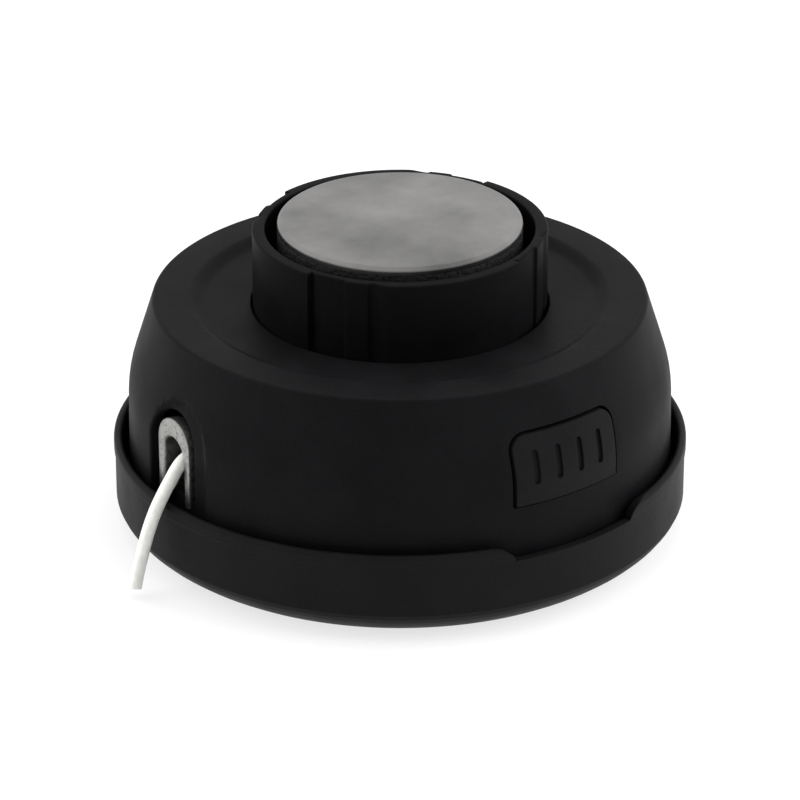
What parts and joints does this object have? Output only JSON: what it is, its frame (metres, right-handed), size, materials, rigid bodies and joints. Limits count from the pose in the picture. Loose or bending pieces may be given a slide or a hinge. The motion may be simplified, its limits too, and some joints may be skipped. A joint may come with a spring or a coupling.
{
  "type": "bump feed trimmer head",
  "caption": "Round bump-feed line head for a brush cutter, with a lobed knob, a ball-bearing ground button, release tabs and line eyelets.",
  "frame": {"origin": "centre of the foot ring on the face that the head stands on, which faces the gearbox in use", "axes": "+Z along the drive shaft towards the bump knob; -Y faces the viewer, +X is to the viewer's right"},
  "size_m": [0.13, 0.13, 0.0717],
  "materials": {
    "black_nylon": "matte moulded, fine grain",
    "knob_nylon": "moulded, slightly smoother",
    "button_plastic": "coarse moulded grain",
    "plated_steel": "zinc plated, turned",
    "eyelet_metal": "die cast, tumbled, worn at the mouth",
    "spring_steel": "drawn wire and stamped strip",
    "bearing_steel": "ground",
    "cage_brass": "stamped",
    "seal_rubber": "moulded",
    "nylon_line": "extruded, slightly translucent",
    "face_steel": "pressed stainless steel, satin"
  },
  "bodies": {
    "head": {"housing": "black_nylon", "drive_insert": "plated_steel", "cover": "black_nylon", "eyelet_left": "eyelet_metal", "eyelet_right": "eyelet_metal", "spring": "spring_steel", "line_end_left": "nylon_line", "line_end_right": "nylon_line"},
    "tab_left": {"release_tab_left": "black_nylon"},
    "tab_right": {"release_tab_right": "black_nylon"},
    "spring_seat": {"thrust_washer": "spring_steel"},
    "spool_group": {"spool": "black_nylon", "line_winding_upper": "nylon_line", "line_winding_lower": "nylon_line", "knob": "knob_nylon", "knob_screws": "plated_steel", "bearing_outer_ring": "bearing_steel", "bearing_seal_upper": "seal_rubber", "bearing_seal_lower": "seal_rubber"},
    "ball_cage": {"bearing_cage": "cage_brass", "bearing_balls": "bearing_steel"},
    "button": {"bearing_inner_ring": "bearing_steel", "retaining_clip": "spring_steel", "button_body": "button_plastic", "button_cap": "face_steel"}
  },
  "joints": [
    {"name": "tab_left_press", "type": "hinge", "parent": "head", "child": "tab_left", "pos_m": [-0.03367, 0.04468, 0.0092], "axis": [0.7986, 0.6018, 0], "range_deg": [0, 9], "stiffness_Nm_per_rad": 2, "springref_deg": -1.15},
    {"name": "tab_right_press", "type": "hinge", "parent": "head", "child": "tab_right", "pos_m": [0.03367, -0.04468, 0.0092], "axis": [-0.7986, -0.6018, 0], "range_deg": [0, 9], "stiffness_Nm_per_rad": 2, "springref_deg": -1.15},
    {"name": "bump_slide", "type": "slide", "parent": "head", "child": "spring_seat", "axis": [0, 0, -1], "range_m": [0, 0.006], "stiffness_N_per_m": 2000, "springref_m": -0.01, "deforming": ["spring"]},
    {"name": "spool_spin", "type": "hinge", "parent": "spring_seat", "child": "spool_group", "pos_m": [0, 0, 0.03], "axis": [0, 0, 1], "continuous": true},
    {"name": "button_spin", "type": "hinge", "parent": "spool_group", "child": "button", "pos_m": [0, 0, 0.06], "axis": [0, 0, 1], "continuous": true},
    {"name": "cage_spin", "type": "hinge", "parent": "spool_group", "child": "ball_cage", "pos_m": [0, 0, 0.06], "axis": [0, 0, 1], "continuous": true}
  ],
  "couplings": [
    {"joint": "cage_spin", "follows": "button_spin", "ratio": 0.381}
  ]
}
